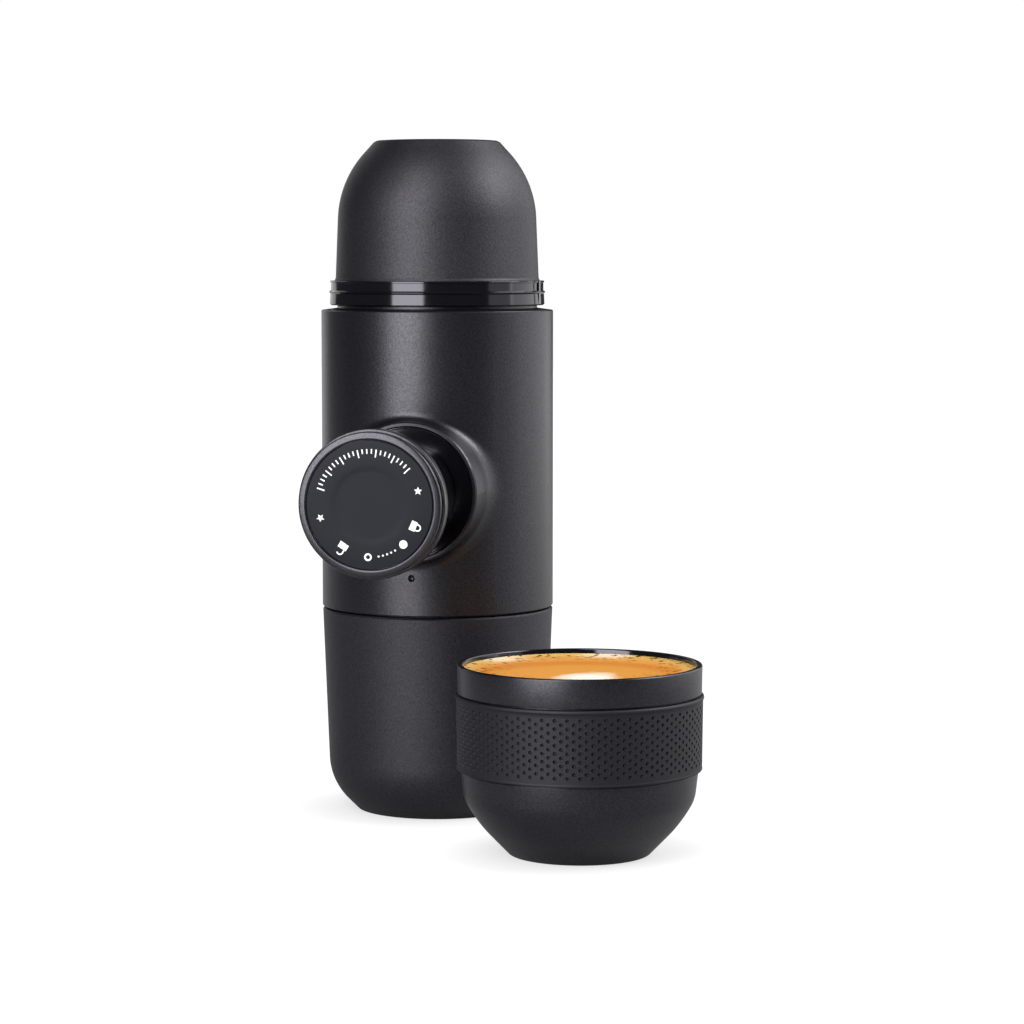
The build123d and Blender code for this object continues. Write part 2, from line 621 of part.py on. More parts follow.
def cup_band():
    """Rubber sleeve with a lip at both edges."""
    seat_r = BAND_R - BAND_T
    foot_r = BAND_R - BAND_TAPER
    profile = Polyline(
        (seat_r, BAND_LOW), (foot_r, BAND_LOW), (foot_r + 0.1, BAND_LOW + 0.1),
        (foot_r + 0.1, BAND_LOW + 0.3), (foot_r, BAND_LOW + 0.4), (BAND_R, BAND_HIGH - 1.0),
        (BAND_R + BAND_LIP, BAND_HIGH - 0.7), (BAND_R + BAND_LIP, BAND_HIGH - 0.3),
        (BAND_R, BAND_HIGH), (seat_r, BAND_HIGH), close=True)
    return Pos(CUP_X, CUP_Y, 0) * turned(profile)


def whole_maker():
    return {
        "water_tank": water_tank(),
        "tank_gasket": tank_gasket(),
        "body_shell": body_shell(),
        "port_collar": port_collar(),
        "base_plate": base_plate(),
        "plate_screws": Compound([plate_screw(x, y).solid() for x, y in plate_screw_places()]),
        "inlet_filter": inlet_filter(),
        "vent_valve": vent_valve(),
        "inlet_tube": inlet_tube(),
        "pump_block": pump_block(),
        "inlet_seat": valve_seat(INLET_SEAT_Z),
        "inlet_ball": valve_ball(INLET_SEAT_Z),
        "inlet_spring": valve_spring(INLET_SEAT_Z),
        "outlet_seat": valve_seat(OUTLET_SEAT_Z),
        "outlet_ball": valve_ball(OUTLET_SEAT_Z),
        "outlet_spring": valve_spring(OUTLET_SEAT_Z),
        "outlet_duct": outlet_duct(),
        "pump_cylinder": pump_cylinder(),
        "cylinder_cap": cylinder_cap(),
        "piston_rod": piston_rod(),
        "piston_head": piston_head(),
        "piston_seal": piston_seal(),
        "piston_screw": piston_screw(),
        "return_spring": return_spring(),
        "knob_shell": knob_shell(),
        "knob_face": knob_face(),
        "knob_screw": knob_screw(),
        "plunger_sleeve": plunger_sleeve(),
        "retaining_ring": retaining_ring(),
        "brew_chamber": brew_chamber(),
        "chamber_screws": Compound([flange_screw(spot).solid() for spot in flange_screw_places()]),
        "needle_plate": needle_plate(),
        "head_gasket": head_gasket(),
        "outlet_head": outlet_head(),
        "spout": spout(),
        "outlet_plate": outlet_plate(),
        "head_cap": head_cap(),
        "cup_shell": cup_shell(),
        "cup_band": cup_band(),
    }


os.makedirs("parts", exist_ok=True)
for name, shape in whole_maker().items():
    export_step(shape, f"parts/{name}.step")
    print(name, round(shape.volume, 1))
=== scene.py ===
import json
from math import acos, cos, pi, radians, sin
import bmesh
import bpy
from mathutils import Matrix, Vector


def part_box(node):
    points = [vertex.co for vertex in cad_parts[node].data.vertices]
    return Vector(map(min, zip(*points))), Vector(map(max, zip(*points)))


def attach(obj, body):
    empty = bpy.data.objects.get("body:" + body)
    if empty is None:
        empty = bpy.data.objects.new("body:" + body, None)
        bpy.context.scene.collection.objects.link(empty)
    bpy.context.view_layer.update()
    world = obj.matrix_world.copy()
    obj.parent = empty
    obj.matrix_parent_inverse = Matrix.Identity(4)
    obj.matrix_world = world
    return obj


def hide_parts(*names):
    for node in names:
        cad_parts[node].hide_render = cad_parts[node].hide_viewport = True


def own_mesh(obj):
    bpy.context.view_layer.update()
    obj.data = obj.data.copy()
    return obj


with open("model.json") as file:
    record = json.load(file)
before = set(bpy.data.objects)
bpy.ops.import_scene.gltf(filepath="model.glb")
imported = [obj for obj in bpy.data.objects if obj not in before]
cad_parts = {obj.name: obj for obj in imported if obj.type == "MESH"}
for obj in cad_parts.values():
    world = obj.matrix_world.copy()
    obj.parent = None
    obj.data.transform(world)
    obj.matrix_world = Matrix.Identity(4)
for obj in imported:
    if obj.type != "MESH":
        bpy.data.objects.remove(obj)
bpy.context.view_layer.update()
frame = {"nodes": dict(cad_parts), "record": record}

print("maker: frame loaded,", len(frame["nodes"]), "nodes")

mm = 0.001
nodes = frame["nodes"]


# small helpers for nodes and materials

def srgb(hexText):
    # sRGB hex text to the linear colour that Blender's sockets take
    parts = [int(hexText[i:i + 2], 16) / 255 for i in (1, 3, 5)]
    return [c / 12.92 if c <= 0.04045 else ((c + 0.055) / 1.055) ** 2.4 for c in parts] + [1.0]


def addNode(tree, kind, settings=None, links=None):
    # one node with its settings; links maps an input's name or number to an output socket
    node = tree.nodes.new(kind)
    for key, value in (settings or {}).items():
        if isinstance(key, int) or key in node.inputs:
            node.inputs[key].default_value = value
        else:
            setattr(node, key, value)
    for key, socket in (links or {}).items():
        tree.links.new(socket, node.inputs[key])
    return node


def newMaterial(name, settings):
    mat = bpy.data.materials.new(name)
    mat.use_nodes = True
    tree = mat.node_tree
    shader = tree.nodes["Principled BSDF"]
    for key, value in settings.items():
        shader.inputs[key].default_value = value
    return mat, tree, shader


def objectCoords(tree):
    return addNode(tree, "ShaderNodeTexCoord").outputs["Object"]


def rampOf(tree, socket, stops):
    # stops are (position, colour or grey)
    ramp = addNode(tree, "ShaderNodeValToRGB", links={"Fac": socket})
    points = ramp.color_ramp.elements
    while len(points) < len(stops):
        points.new(0.5)
    for point, (place, colour) in zip(points, stops):
        point.position = place
        point.color = colour if isinstance(colour, list) else (colour, colour, colour, 1)
    return ramp.outputs["Color"]


# the black plastics mirror the lamps a little cooler than they are
coolTint = (0.92, 0.895, 1.0, 1.0)


# soft-touch lacquer on moulded ABS: deep black that greys softly under the lamps,
# with a fine sandy grain that breaks up every highlight
def softTouch(name, base, low, high, grain):
    # low and high bound the roughness; grain is the share of the grain's full relief
    grainSize = 0.42      # mm; real grain is about 0.1, drawn coarser so that it shows
    grainDepth = 0.04     # mm
    grainGlint = 0.25     # how much the grain's flanks gain or lose of the mirrored light
    grainPale = 1.25      # how much paler the grain's tips are
    cloudSize = 14.0      # mm, slow changes of roughness
    mat, tree, shader = newMaterial(name, {"IOR": 1.5, "Specular Tint": coolTint})
    coords = objectCoords(tree)
    fine = addNode(tree, "ShaderNodeTexNoise", {"Scale": 1 / (grainSize * mm), "Detail": 1.0},
                   {"Vector": coords})
    cloud = addNode(tree, "ShaderNodeTexNoise", {"Scale": 1 / (cloudSize * mm), "Detail": 3.0},
                    {"Vector": coords})
    rough = addNode(tree, "ShaderNodeMapRange", {"To Min": low, "To Max": high},
                    {"Value": cloud.outputs["Fac"]})
    tree.links.new(rough.outputs["Result"], shader.inputs["Roughness"])
    glint = addNode(tree, "ShaderNodeMapRange",
                    {"To Min": 0.5 - grainGlint, "To Max": 0.5 + grainGlint},
                    {"Value": fine.outputs["Fac"]})
    tree.links.new(glint.outputs["Result"], shader.inputs["Specular IOR Level"])
    dark = srgb(base)
    light = [c * grainPale for c in dark[:3]] + [1]
    tree.links.new(rampOf(tree, fine.outputs["Fac"], [(0.35, dark), (0.7, light)]),
                   shader.inputs["Base Color"])
    bump = addNode(tree, "ShaderNodeBump", {"Strength": grain, "Distance": grainDepth * mm},
                   {"Height": fine.outputs["Fac"]})
    tree.links.new(bump.outputs["Normal"], shader.inputs["Normal"])
    return mat


# black ABS straight from a polished mould: soft-edged reflections, a touch of waviness
def glossBlack():
    waveSize = 6          # mm
    low, high = 0.09, 0.13
    mat, tree, shader = newMaterial("polishedBlackPlastic", {
        "Base Color": srgb("#0b0b0f"), "IOR": 1.5, "Specular Tint": coolTint})
    wave = addNode(tree, "ShaderNodeTexNoise", {"Scale": 1 / (waveSize * mm), "Detail": 1.0},
                   {"Vector": objectCoords(tree)})
    rough = addNode(tree, "ShaderNodeMapRange", {"To Min": low, "To Max": high},
                    {"Value": wave.outputs["Fac"]})
    tree.links.new(rough.outputs["Result"], shader.inputs["Roughness"])
    return mat


def plain(name, hexText, rough, metallic=0.0, grain=0.5, specular=0.5):
    # moulded, rubber or metal finish with a fine grain; grain is its size in mm,
    # a few times coarser than the real one so that it shows
    depth = 0.01          # mm
    spreadShare = 0.12    # how far the grain changes the roughness and the colour
    mat, tree, shader = newMaterial(name, {"Metallic": metallic, "Specular IOR Level": specular})
    if not metallic:
        shader.inputs["Specular Tint"].default_value = coolTint
    noise = addNode(tree, "ShaderNodeTexNoise", {"Scale": 1 / (grain * mm), "Detail": 3.0},
                    {"Vector": objectCoords(tree)})
    spread = addNode(tree, "ShaderNodeMapRange", {"To Min": rough * (1 - spreadShare),
                                                  "To Max": rough * (1 + spreadShare)},
                     {"Value": noise.outputs["Fac"]})
    tree.links.new(spread.outputs["Result"], shader.inputs["Roughness"])
    base = srgb(hexText)
    shade = [c * (1 - spreadShare) for c in base[:3]] + [1]
    tree.links.new(rampOf(tree, noise.outputs["Fac"], [(0.3, shade), (0.7, base)]),
                   shader.inputs["Base Color"])
    bump = addNode(tree, "ShaderNodeBump", {"Strength": 0.3, "Distance": depth * mm},
                   {"Height": noise.outputs["Fac"]})
    tree.links.new(bump.outputs["Normal"], shader.inputs["Normal"])
    return mat


finish = {
    "soft_touch": softTouch("softTouchLacquer", "#09090d", 0.32, 0.37, 0.5),
    # the tank's lacquer is flatter: its highlight is wide and dim
    "tank_plastic": softTouch("softTouchTank", "#0c0b10", 0.5, 0.55, 0.6),
    "gloss_black": glossBlack(),
    # satin printed foil on the disc: an even blue-black that hardly mirrors
    "knob_disc": plain("satinDiscPrinted", "#14161b", 0.5, grain=0.4, specular=0.14),
    # moulded silicone rubber: dull black, so that the dimples show as dark dots
    "band_rubber": plain("gripRubber", "#07070c", 0.58, grain=0.3, specular=0.42),
    # moulded translucent silicone: a soft pale grey
    "seal_silicone": plain("greySilicone", "#8c8c8a", 0.5, grain=0.6),
    # moulded glass-filled nylon: dark grey, slightly speckled
    "inner_plastic": plain("glassFilledNylon", "#26272a", 0.5, grain=0.4),
    # drawn and turned stainless steel: bright, with a soft sheen
    "steel": plain("stainlessSteel", "#b9b9b6", 0.3, metallic=1.0, grain=0.3),
}
# the handled pieces' own lacquers: the knob's is the smoothest, the cap's the flattest
knobFinish = softTouch("softTouchKnob", "#0d0d12", 0.24, 0.28, 0.4)
cupFinish = softTouch("satinCup", "#0b0b11", 0.32, 0.37, 0.4)
capFinish = softTouch("softTouchCap", "#09090d", 0.49, 0.54, 1.0)
# pad-printed white ink: flat, brightest thing on the maker
whitePrint = plain("whitePadPrint", "#f2f2f2", 0.6, grain=0.3)
slotOf = {part["node"]: part["material_slot"] for part in frame["record"]["subparts"]}
for name, obj in nodes.items():
    obj.data.materials.clear()
    obj.data.materials.append(finish[slotOf[name]])
nodes["head_cap"].data.materials[0] = capFinish
print("maker: finishes made")


# helpers for pieces

def finishPiece(name, mesh, materials, body, replaced=(), sharp=35):
    # turns a finished bmesh into a piece that rides on a body
    bmesh.ops.recalc_face_normals(mesh, faces=mesh.faces[:])
    data = bpy.data.meshes.new(name)
    mesh.to_mesh(data)
    mesh.free()
    data.shade_smooth()
    data.set_sharp_from_angle(angle=radians(sharp))
    for mat in materials:
        data.materials.append(mat)
    obj = bpy.data.objects.new(name, data)
    bpy.context.scene.collection.objects.link(obj)
    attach(obj, body)
    if replaced:
        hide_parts(*replaced)
    return obj


def lathe(outline, closed=True, steps=144):
    # turns an outline of (radius, height) in mm; a third number cuts that corner back and rounds it
    mesh = bmesh.new()
    corners = [mesh.verts.new((point[0] * mm, 0, point[1] * mm)) for point in outline]
    for start, end in zip(corners, corners[1:]):
        mesh.edges.new((start, end))
    if closed:
        mesh.edges.new((corners[-1], corners[0]))
    for corner, point in zip(corners, outline):
        if len(point) == 3:
            bmesh.ops.bevel(mesh, geom=[corner], offset=point[2] * mm, offset_type="OFFSET",
                            segments=5 if point[2] < 1 else 10, profile=0.5, affect="VERTICES",
                            clamp_overlap=True, material=-1)
    bmesh.ops.spin(mesh, geom=mesh.verts[:] + mesh.edges[:], cent=(0, 0, 0), axis=(0, 0, 1),
                   dvec=(0, 0, 0), angle=2 * pi, steps=steps, use_merge=True)
    bmesh.ops.remove_doubles(mesh, verts=mesh.verts[:], dist=1e-7)
    return mesh


def addRib(mesh, section, start, sweep, lead=0.0):
    # closed rib round the main axis from start through sweep degrees; lead is its rise per turn, mm
    steps = max(3, round(sweep / 3))
    corners = [mesh.verts.new((radius * mm, 0, height * mm)) for radius, height in section]
    face = mesh.faces.new(corners)
    bmesh.ops.rotate(mesh, verts=corners, cent=(0, 0, 0),
                     matrix=Matrix.Rotation(radians(start), 3, "Z"))
    bmesh.ops.spin(mesh, geom=corners + list(face.edges) + [face], cent=(0, 0, 0),
                   axis=(0, 0, 1), dvec=(0, 0, lead * mm * sweep / 360 / steps),
                   angle=radians(sweep), steps=steps, use_merge=False)


# the pump axis: pieces made along +Z are turned to point along -Y
pumpHeight = (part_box("pump_cylinder")[0].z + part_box("pump_cylinder")[1].z) / 2
alongPump = Matrix.Translation((0, 0, pumpHeight)) @ Matrix.Rotation(radians(90), 4, "X")

# the cup stands beside the maker; pieces made on the main axis are moved to it
cupLow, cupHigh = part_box("cup_shell")
toCup = Matrix.Translation(((cupLow.x + cupHigh.x) / 2, (cupLow.y + cupHigh.y) / 2, 0))


# cup: satin outside, polished inside and over the rim; corners are (radius, height, rounding)

cup = {"rim": 45.6, "rimRadius": 29.25, "wallTop": 1.3, "neck": 40.7, "bandLow": 20.5,
       "bandHigh": 38.4, "groove": 0.4, "ledge": 0.28, "seat": 28.2, "seatWall": 1.4,
       "side": (28.4, 20.5), "sideBend": (27.65, 13.63, 1.37), "lowBend": (24.99, 8.41, 4.4),
       "foot": 16.82, "floor": 2.2, "floorRadius": 17.35, "wall": 1.6, "coffee": 44.15}


def cupInside(gap):
    # the cup's inner wall from the floor up to the neck, drawn in by gap
    wall = cup["wall"] + gap
    points = [(cup["floorRadius"] - gap, cup["floor"] + gap, 1.5)]
    for radius, height, *rounding in (cup["lowBend"], cup["sideBend"], cup["side"]):
        points.append((radius - wall, height, *rounding))
    return points + [(cup["seat"] - cup["seatWall"] - gap, cup["bandHigh"] - 0.4, 0.8)]


def buildCup():
    rimRadius, rim, seat = cup["rimRadius"], cup["rim"], cup["seat"]
    insideRim = rimRadius - cup["wallTop"]
    groove = cup["bandHigh"] + cup["groove"]       # narrow shadow lines above and below the band
    ledge = cup["bandLow"] - cup["ledge"]
    inside = [(0, cup["floor"])] + cupInside(0) + [(insideRim - 0.2, cup["neck"], 0.8),
                                                   (insideRim, rim, 0.35)]
    outside = [(rimRadius, rim, 0.4), (rimRadius - 0.1, groove, 0.15), (seat, groove),
               (seat, ledge), (cup["side"][0] + 0.02, ledge, 0.12), cup["sideBend"],
               cup["lowBend"], (cup["foot"], 0, 0.5), (0, 0)]
    mesh = lathe(inside + outside, closed=False, steps=192)
    bmesh.ops.recalc_face_normals(mesh, faces=mesh.faces[:])
    for face in mesh.faces:
        spot = face.calc_center_median()
        inward = face.normal.x * spot.x + face.normal.y * spot.y < 0
        overFloor = spot.z > cup["floor"] * 0.9 * mm
        face.material_index = 1 if overFloor and (inward or face.normal.z > 0.6) else 0
    bmesh.ops.transform(mesh, matrix=toCup, verts=mesh.verts[:])
    finishPiece("cupBody", mesh, [cupFinish, finish["gloss_black"]], "cup",
                ["cup_shell"])


buildCup()


# grip band: a rubber sleeve with rows of round dimples, each row set half a step from the next

band = {"low": 20.5, "high": 38.4, "radius": 29.35, "taper": 0.2, "seat": 28.2, "lip": 0.25,
        "columns": 124, "rows": 15, "turn": 0.5, "dimplesLow": 22.17, "dimplesHigh": 36.53,
        "dimple": 0.47, "floor": 0.22, "depth": 0.46}


def buildBand():
    mesh = bmesh.new()
    bmesh.ops.create_grid(mesh, x_segments=band["columns"], y_segments=band["rows"], size=1.0)
    bmesh.ops.subdivide_edges(mesh, edges=mesh.edges[:], cuts=1, use_grid_fill=False)
    # flat sheet first: as long as the band's way round, as high as the dimpled stretch
    length = 2 * pi * band["radius"]
    tall = band["dimplesHigh"] - band["dimplesLow"]
    bmesh.ops.scale(mesh, vec=(length / 2 * mm, tall / 2 * mm, 1), verts=mesh.verts[:])
    cellWide, cellTall = length / band["columns"], tall / band["rows"]
    dimples = []
    for face in mesh.faces:
        spot = face.calc_center_median()
        column = round((spot.x / mm + length / 2) / cellWide - 0.5)
        row = round((spot.y / mm + tall / 2) / cellTall - 0.5)
        if (column + row) % 2 == 0:
            dimples.append(face)
    bmesh.ops.inset_individual(mesh, faces=dimples, thickness=0.05 * mm, depth=0,
                               use_even_offset=True)
    for size, depth in ((band["dimple"], 0.0), (band["dimple"] * 0.86, band["depth"] * 0.55),
                        (band["floor"], band["depth"])):
        if depth:
            bmesh.ops.inset_individual(mesh, faces=dimples, thickness=0.03 * mm, depth=0,
                                       use_even_offset=True)
        for face in dimples:
            spot = face.calc_center_median()
            for vert in face.verts:
                offset = Vector((vert.co.x - spot.x, vert.co.y - spot.y, 0))
                vert.co = Vector((spot.x, spot.y, -depth * mm)) + offset.normalized() * size * mm
    # bent round the cup, a little wider towards the top
    lip, seat, low, high = band["lip"], band["seat"], band["low"], band["high"]
    slope = band["taper"] / (high - low)
    lift = (band["dimplesLow"] + tall / 2) * mm
    for vert in mesh.verts:
        angle = vert.co.x / (band["radius"] * mm) + radians(band["turn"])
        radius = band["radius"] * mm + vert.co.z + vert.co.y * slope
        vert.co = Vector((radius * cos(angle), radius * sin(angle), vert.co.y + lift))
    bmesh.ops.remove_doubles(mesh, verts=mesh.verts[:], dist=1e-6)
    # plain edges: a rounded lip above, a slighter one below, then in to the seat
    upper, lower = band["radius"] + band["taper"] / 2, band["radius"] - band["taper"] / 2
    top = [(upper, high - 1.1), (upper + lip * 0.2, high - 1.0), (upper + lip * 0.75, high - 0.82),
           (upper + lip * 0.95, high - 0.6), (upper + lip * 0.85, high - 0.32),
           (upper + lip * 0.4, high - 0.1), (upper - 0.1, high), (seat, high)]
    bottom = [(lower + 0.01, low + 1.2), (lower, low + 0.75), (lower, low + 0.6),
              (lower + 0.05, low + 0.4), (lower + 0.06, low + 0.2), (lower - 0.02, low + 0.04),
              (lower - 0.15, low), (seat, low)]
    loops = [edge for edge in mesh.edges if edge.is_boundary]
    middle = (low + high) / 2 * mm
    last = []
    for steps, isTop in ((top, True), (bottom, False)):
        ring = [edge for edge in loops if (edge.verts[0].co.z > middle) == isTop]
        for stepRadius, height in steps:
            grown = bmesh.ops.extrude_edge_only(mesh, edges=ring)["geom"]
            ring = [part for part in grown if isinstance(part, bmesh.types.BMEdge)]
            for vert in [part for part in grown if isinstance(part, bmesh.types.BMVert)]:
                flat = Vector((vert.co.x, vert.co.y, 0)).normalized() * stepRadius * mm
                vert.co = Vector((flat.x, flat.y, height * mm))
        last += ring
    bmesh.ops.bridge_loops(mesh, edges=last)
    bmesh.ops.transform(mesh, matrix=toCup, verts=mesh.verts[:])
    finishPiece("gripBand", mesh, [finish["band_rubber"]], "cup", ["cup_band"],
                sharp=50)


buildBand()
print("maker: cup made")


# espresso in the cup; mm from the cup's middle: where the stream of coffee fell, then a painted
# highlight beside it (a near-white patch for the lamps' glare on the crema) and its size; the two
# pale patches of foam along the wall, painted paler as the highlight along its edge; then the sizes
# of swirls and bubbles

crema = {"pour": (2.2, -12.2), "paintedGlareSpot": (4.5, -16.5), "paintedGlareSize": 9.0,
         "foamAndSheenSpots": [((-21.5, 14.5), 6.0), ((2.0, 27.0), 6.5)], "swirl": 7, "bubble": 2.0}


# fresh crema: orange-brown foam, paler with dark open bubbles along the wall; its pale foam there
# is painted paler as a highlight, and a near-white painted highlight near the front stands in for
# the lamps' glare
def cremaFoam():
    mat, tree, shader = newMaterial("espressoFoam", {"Roughness": 0.5, "Specular IOR Level": 0.3})
    centred = addNode(tree, "ShaderNodeMapping", {"Location": -toCup.translation},
                      {"Vector": objectCoords(tree)})
    place = addNode(tree, "ShaderNodeSeparateXYZ", links={0: centred.outputs[0]})
    flat = addNode(tree, "ShaderNodeCombineXYZ",
                   links={0: place.outputs[0], 1: place.outputs[1]}).outputs[0]
    drift = addNode(tree, "ShaderNodeTexNoise",
                    {"Scale": 1 / (crema["swirl"] * mm), "Detail": 5.0, "Distortion": 1.0},
                    {"Vector": flat}).outputs["Fac"]

    def wavyDistance(spot, wave, deep=1.0):
        # distance from a spot of the surface in m, with a wavy edge;
        # spot and wave in mm, deep shrinks it along Y
        squeezed = addNode(tree, "ShaderNodeVectorMath", {"operation": "MULTIPLY", 1: (1, deep, 1)},
                           {0: flat})
        away = addNode(tree, "ShaderNodeVectorMath",
                       {"operation": "DISTANCE", 1: (spot[0] * mm, spot[1] * deep * mm, 0)},
                       {0: squeezed.outputs[0]}).outputs["Value"]
        return addNode(tree, "ShaderNodeMath", {"operation": "MULTIPLY_ADD", 1: wave * mm},
                       {0: drift, 2: away}).outputs[0]

    def stretch(socket, start, end):
        # 0 at start mm to 1 at end mm
        return addNode(tree, "ShaderNodeMapRange", {"From Min": start * mm, "From Max": end * mm},
                       {"Value": socket}).outputs["Result"]

    def product(one, other):
        return addNode(tree, "ShaderNodeMath", {"operation": "MULTIPLY"},
                       {0: one, 1: other}).outputs[0]

    def over(under, share, hexText):
        return addNode(tree, "ShaderNodeMixRGB", {"Color2": srgb(hexText)},
                       {"Fac": share, "Color1": under}).outputs[0]

    swirl = rampOf(tree, stretch(wavyDistance(crema["pour"], 3.0), 0, 40), [
        (0.0, srgb("#c88a3a")), (0.5, srgb("#c88633")), (0.62, srgb("#be7726")),
        (0.7, srgb("#c07727")), (0.78, srgb("#ca8b39")), (1.0, srgb("#ca9446"))])
    fromMiddle = wavyDistance((0, 0), 3.0)
    colour = over(swirl, stretch(fromMiddle, 24.5, 29.0), "#c79f57")
    nearWall = stretch(fromMiddle, 21.5, 25.5)
    # pale foam along the wall, painted paler still as the highlight along the coffee's edge
    for spot, size in crema["foamAndSheenSpots"]:
        patch = rampOf(tree, stretch(wavyDistance(spot, 6.0), size * 0.6, size + 5),
                       [(0.0, 0.7), (0.5, 0.4), (1.0, 0.0)])
        colour = over(colour, product(patch, nearWall), "#efdcc0")
    cells = addNode(tree, "ShaderNodeTexVoronoi",
                    {"Scale": 1 / (crema["bubble"] * mm), "Randomness": 1.0},
                    {"Vector": flat}).outputs["Distance"]
    specks = rampOf(tree, cells, [(0.0, 1.0), (0.25, 1.0), (0.33, 0.0)])
    patchy = rampOf(tree, drift, [(0.3, 0.0), (0.42, 1.0)])
    specks = product(product(specks, stretch(fromMiddle, 17.0, 23.0)), patchy)
    colour = over(colour, specks, "#4a3110")
    # painted highlight: a near-white patch beside where the coffee fell stands in for the lamps'
    # glare on the crema
    paintedGlare = rampOf(tree, stretch(wavyDistance(crema["paintedGlareSpot"], 5.0, 0.6), crema["paintedGlareSize"] - 4,
                                crema["paintedGlareSize"] + 2), [(0.0, 0.95), (0.5, 0.6), (1.0, 0.0)])
    colour = over(colour, paintedGlare, "#f6eadc")
    tree.links.new(colour, shader.inputs["Base Color"])
    bump = addNode(tree, "ShaderNodeBump", {"Strength": 0.3, "Distance": 0.15 * mm},
                   {"Height": cells})
    tree.links.new(bump.outputs["Normal"], shader.inputs["Normal"])
    return mat


def buildCoffee():
    # fills the cup with a hair's gap to its wall; its edge creeps up the wall a little
    top, gap = cup["coffee"], 0.06
    rim = cup["rimRadius"] - cup["wallTop"] - gap
    outline = [(0, top), (26.4, top - 0.05, 0.8), (rim, top + 0.3), (rim - 0.2, cup["neck"])]
    outline += cupInside(gap)[::-1] + [(0, cup["floor"] + gap)]
    mesh = lathe(outline, closed=False, steps=128)
    bmesh.ops.transform(mesh, matrix=toCup, verts=mesh.verts[:])
    finishPiece("espresso", mesh, [cremaFoam()], "cup")


buildCoffee()
print("maker: coffee made")


# soft run of the body's side into the pump's boss: a fillet laid over the sharper one, in mm;
# size is how far it reaches from the corner above and below the boss, sideSize at its sides

root = {"body": 29.7, "size": 1.6, "sideSize": 2.2, "corner": 18.9, "lipRadius": 17.6,
        "lipReach": 33.6, "baseRadius": 20.4, "baseReach": 10.0, "over": 0.015, "run": 1.1,
        "under": 0.06, "sink": 0.5, "around": 180, "steps": 14}


def buildBossRoot():
    steps = root["steps"]
    mesh = bmesh.new()
    bmesh.ops.create_grid(mesh, x_segments=root["around"], y_segments=steps + 3, size=1.0)
    slope = (root["baseRadius"] - root["lipRadius"]) / (root["lipReach"] - root["baseReach"])
    tilt = (1 + slope * slope) ** 0.5
    body, over, run, under = root["body"], root["over"], root["run"], root["under"]
    for vert in mesh.verts:
        # section round the boss: thin run-outs on both sides, an arc between them, closed below
        angle = vert.co.x * pi
        place = round((vert.co.y + 1) / 2 * (steps + 3)) % (steps + 3)
        # bend is the angle between the boss's side and the body's at this place of the corner
        corner = root["corner"] * cos(angle)
        facing = (corner * cos(angle) + (body ** 2 - corner ** 2) ** 0.5 * slope) / body / tilt
        bend = acos(facing)
        size = root["size"] + (root["sideSize"] - root["size"]) * cos(angle) ** 2
        arc = size / (1 - facing)
        if place == 0:
            offSide, offBody = -under, size + run
        elif place == steps + 2:
            offSide, offBody = -root["sink"], -root["sink"]
        elif place == steps + 1:
            offSide, offBody = size + run, -under
        else:
            part = bend * (place - 1) / (steps - 1)
            offSide, offBody = arc * (1 - cos(part)) + over, arc * (1 - cos(bend - part)) + over
        if place == steps:
            offSide, offBody = size + over, over
        # the point at those distances from the two surfaces, closing in on it step by step
        reach = body
        for attempt in range(25):
            radius = root["baseRadius"] - (reach - root["baseReach"]) * slope + offSide * tilt
            reach = ((body + offBody) ** 2 - (radius * cos(angle)) ** 2) ** 0.5
        vert.co = Vector((radius * cos(angle) * mm, radius * sin(angle) * mm, reach * mm))
    bmesh.ops.remove_doubles(mesh, verts=mesh.verts[:], dist=1e-6)
    bmesh.ops.transform(mesh, matrix=alongPump, verts=mesh.verts[:])
    finishPiece("bossRoot", mesh, [finish["soft_touch"]], "housing", sharp=50)


buildBossRoot()


# knob: flange and rounded bezel round the printed disc

knob = {"back": 66.7, "bore": 2.2, "flange": 17.85, "groove": 70.3, "grooveWide": 0.4,
        "grooveRadius": 16.5, "bezel": 17.3, "crest": 15.7, "front": 72.7, "disc": 15.25,
        "discThick": 0.88, "pocket": 71.5, "dish": 8.1, "dishEdge": 9.4, "dishDeep": 0.12}

# signs printed on the disc: a turning scale, stars, padlocks and the dots of the lock's way;
# places are degrees from the bottom of the disc, counter-clockwise, sizes in mm
marks = {"plane": 72.4, "raise": 0.03, "radius": 12.3, "openRing": -1.6, "ringSize": (0.5, 0.92),
         "closedDot": 42.0, "dotSize": 1.0, "smallDots": (10.5, 15.5, 20.5, 25.5, 30.5),
         "smallDotSize": 0.24, "stars": (106.6, -74.9), "starSize": 1.0, "starNotch": 0.45,
         "closedLock": 66.0, "openLock": -33.0, "scale": (132.0, 253.0), "ticks": 25,
         "tickWide": 0.3, "shortTick": 1.1, "longTick": 1.9, "longEvery": 4}


